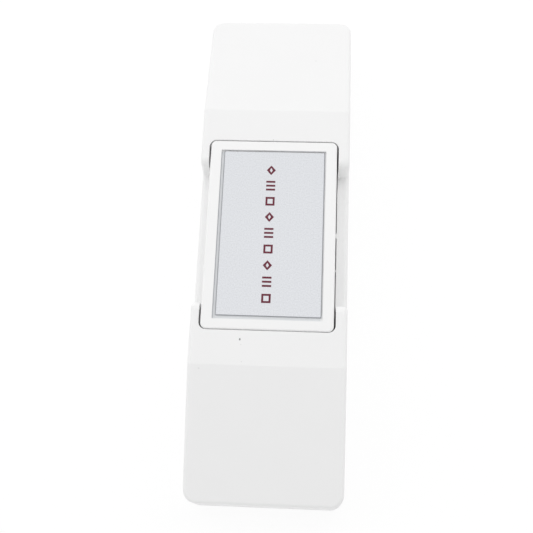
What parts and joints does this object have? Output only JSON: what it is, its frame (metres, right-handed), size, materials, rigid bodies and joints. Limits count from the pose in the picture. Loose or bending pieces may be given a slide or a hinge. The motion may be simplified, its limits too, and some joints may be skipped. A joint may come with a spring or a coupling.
{
  "type": "panic button",
  "caption": "Bar-shaped wired panic button: white housing with sloping ends, finger scoops and a large sprung push cap with a satin plate.",
  "frame": {"origin": "middle of the housing's back face", "axes": "+Z out of the back face towards the push cap, +Y along the housing's length, +X across it"},
  "size_m": [0.0298, 0.1004, 0.017],
  "materials": {
    "white_housing": "fine matt moulded white",
    "white_cap": "satin moulded white",
    "satin_plate": "satin, fine grain",
    "spring_steel": "drawn wire and strip",
    "board_laminate": "green glass-fibre laminate",
    "zinc_steel": "bright zinc plate",
    "switch_plastic": "black moulded",
    "plunger_plastic": "red-brown moulded",
    "contact_brass": "stamped strip",
    "terminal_plastic": "green moulded"
  },
  "bodies": {
    "housing": {"front_cover": "white_housing", "rear_base": "white_housing", "return_spring_upper": "spring_steel", "return_spring_lower": "spring_steel", "circuit_board": "board_laminate", "board_screw_upper": "zinc_steel", "board_screw_lower": "zinc_steel", "switch_case": "switch_plastic", "switch_side_cover": "switch_plastic", "switch_common_pin": "contact_brass", "switch_open_pin": "contact_brass", "switch_closed_pin": "contact_brass", "terminal_block": "terminal_plastic", "wire_clamp_left": "zinc_steel", "wire_clamp_middle": "zinc_steel", "wire_clamp_right": "zinc_steel", "clamp_screw_left": "zinc_steel", "clamp_screw_middle": "zinc_steel", "clamp_screw_right": "zinc_steel"},
    "cap": {"push_cap": "white_cap", "label_plate": "satin_plate"},
    "lever": {"switch_lever": "spring_steel"},
    "plunger": {"switch_plunger": "plunger_plastic"},
    "blade": {"switch_blade": "contact_brass"}
  },
  "joints": [
    {"name": "cap_press", "type": "slide", "parent": "housing", "child": "cap", "axis": [0, 0, -1], "range_m": [0, 0.0022], "stiffness_N_per_m": 1010, "springref_m": -0.003, "deforming": ["return_spring_upper", "return_spring_lower"]},
    {"name": "lever_swing", "type": "hinge", "parent": "housing", "child": "lever", "pos_m": [0.0056, 0, 0.0113], "axis": [0, -1, 0], "range_deg": [0, 11.66]},
    {"name": "plunger_slide", "type": "slide", "parent": "housing", "child": "plunger", "axis": [0, 0, -1], "range_m": [0, 0.000852]},
    {"name": "blade_swing", "type": "hinge", "parent": "housing", "child": "blade", "pos_m": [-0.00508, 0, 0.00785], "axis": [0, 1, 0], "range_deg": [0, 6.5]}
  ],
  "couplings": [
    {"joint": "lever_swing", "follows": "cap_press", "rad_per_m": 92.3},
    {"joint": "plunger_slide", "follows": "cap_press", "ratio": 0.38677},
    {"joint": "blade_swing", "follows": "cap_press", "rad_per_m": 51.43}
  ]
}
